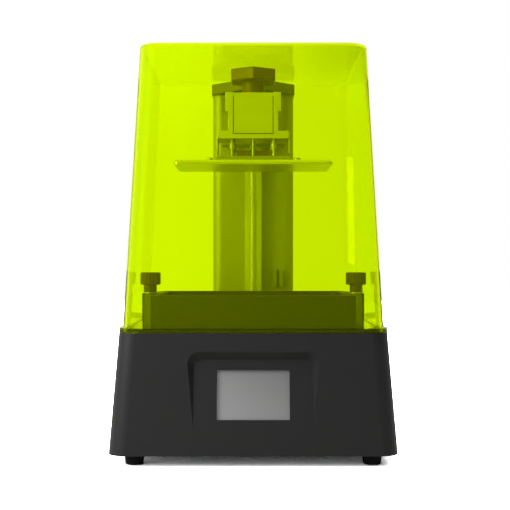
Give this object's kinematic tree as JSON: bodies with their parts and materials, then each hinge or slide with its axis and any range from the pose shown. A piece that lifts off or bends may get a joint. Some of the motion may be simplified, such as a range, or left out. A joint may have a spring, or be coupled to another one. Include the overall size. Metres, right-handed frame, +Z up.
{
  "type": "desktop resin printer",
  "caption": "Desktop resin printer: square tapered base with front touchscreen, resin vat, lift column with hanging build plate and a translucent lift-off cover.",
  "frame": {"origin": "centre of the footprint on the floor under the feet", "axes": "+X to the right seen from the front, +Y to the back, +Z up"},
  "size_m": [0.29, 0.29, 0.427],
  "materials": {
    "case_plastic": "moulded, fine satin grain",
    "floor_sheet": "matte black paint",
    "foot_rubber": "matte",
    "deck_metal": "satin anodised",
    "display_glass": "polished dark glass",
    "touch_glass": "polished, display off",
    "bare_aluminium": "fine machined",
    "dark_aluminium": "dark anodised",
    "post_brass": "plain",
    "board_laminate": "solder resist",
    "lens_clear": "clear moulded lens",
    "hood_white": "white",
    "steel": "ground",
    "bright_steel": "polished",
    "motor_paint": "satin black",
    "dark_plastic": "satin moulded",
    "vat_plastic": "satin dark grey",
    "film_clear": "clear film",
    "cover_tint": "polished translucent yellow-green acrylic"
  },
  "bodies": {
    "base": {"base_housing": "case_plastic", "bottom_plate": "floor_sheet", "case_screws": "steel", "foot_front_left": "foot_rubber", "foot_front_right": "foot_rubber", "foot_rear_left": "foot_rubber", "foot_rear_right": "foot_rubber", "top_deck": "deck_metal", "lcd_panel": "display_glass", "touch_screen": "touch_glass", "heat_sink": "bare_aluminium", "floor_posts": "post_brass", "led_board": "board_laminate", "lens_plate": "lens_clear", "light_hood": "hood_white", "motor_bracket": "steel", "z_motor": "motor_paint", "lower_bearing": "bright_steel", "top_bearing": "bright_steel", "column": "dark_aluminium", "column_screws": "steel", "column_cap": "dark_plastic", "linear_rail": "steel", "end_stop": "dark_plastic", "resin_vat": "vat_plastic", "vat_film": "film_clear", "film_ring": "steel", "knob_inserts": "post_brass", "rear_panel": "floor_sheet", "fan_frame": "dark_plastic", "fan_guard": "bright_steel", "power_inlet": "dark_plastic", "inlet_pins": "post_brass", "switch_body": "dark_plastic", "usb_port": "steel", "mainboard": "board_laminate", "power_supply": "steel"},
    "cover": {"uv_cover": "cover_tint"},
    "carriage": {"rail_slider": "steel", "lift_arm": "dark_aluminium", "lead_nut": "post_brass", "head_block": "bare_aluminium", "head_front_plate": "bare_aluminium", "levelling_screws": "steel", "ball_stud": "bright_steel", "ball_socket": "dark_plastic", "platform_mount": "bare_aluminium", "build_plate": "bare_aluminium", "plate_screws": "steel"},
    "z_screw": {"motor_coupling": "bare_aluminium", "lead_screw": "steel"},
    "fan": {"fan_rotor": "dark_plastic"},
    "rocker": {"power_rocker": "dark_plastic"},
    "left_washer": {"knob_washer_left": "steel"},
    "left_knob": {"vat_knob_left": "dark_plastic"},
    "right_washer": {"knob_washer_right": "steel"},
    "right_knob": {"vat_knob_right": "dark_plastic"},
    "head_washer": {"platform_washer": "steel"},
    "head_knob": {"platform_knob": "dark_plastic"}
  },
  "joints": [
    {"name": "cover_lift", "type": "slide", "parent": "base", "child": "cover", "axis": [0, 0, 1], "range_m": [0, 0.3]},
    {"name": "carriage_slide", "type": "slide", "parent": "base", "child": "carriage", "axis": [0, 0, 1], "range_m": [-0.17, 0.004]},
    {"name": "screw_turn", "type": "hinge", "parent": "base", "child": "z_screw", "pos_m": [0, 0.054, 0.2], "axis": [0, 0, 1], "range_deg": [-361, 15301]},
    {"name": "fan_spin", "type": "hinge", "parent": "base", "child": "fan", "pos_m": [-0.062, 0.13133, 0.07131], "axis": [0, 0.9971, 0.0764], "continuous": true},
    {"name": "power_switch", "type": "hinge", "parent": "base", "child": "rocker", "pos_m": [0.095, 0.13741, 0.07177], "axis": [-1, 0, 0], "range_deg": [0, 20]},
    {"name": "left_knob_rise", "type": "slide", "parent": "base", "child": "left_washer", "axis": [0, 0, 1], "range_m": [0, 0.01]},
    {"name": "left_knob_turn", "type": "hinge", "parent": "left_washer", "child": "left_knob", "pos_m": [-0.113, -0.036, 0.18], "axis": [0, 0, 1], "range_deg": [0, 3599]},
    {"name": "right_knob_rise", "type": "slide", "parent": "base", "child": "right_washer", "axis": [0, 0, 1], "range_m": [0, 0.01]},
    {"name": "right_knob_turn", "type": "hinge", "parent": "right_washer", "child": "right_knob", "pos_m": [0.113, -0.036, 0.18], "axis": [0, 0, 1], "range_deg": [0, 3599]},
    {"name": "head_knob_rise", "type": "slide", "parent": "carriage", "child": "head_washer", "axis": [0, 0, 1], "range_m": [0, 0.005]},
    {"name": "head_knob_turn", "type": "hinge", "parent": "head_washer", "child": "head_knob", "pos_m": [0, -0.036, 0.4], "axis": [0, 0, 1], "range_deg": [0, 1439]}
  ],
  "couplings": [
    {"joint": "screw_turn", "follows": "carriage_slide", "rad_per_m": -1570.8},
    {"joint": "left_knob_rise", "follows": "left_knob_turn", "m_per_rad": 0.00015915},
    {"joint": "right_knob_rise", "follows": "right_knob_turn", "m_per_rad": 0.00015915},
    {"joint": "head_knob_rise", "follows": "head_knob_turn", "m_per_rad": 0.00019894}
  ]
}
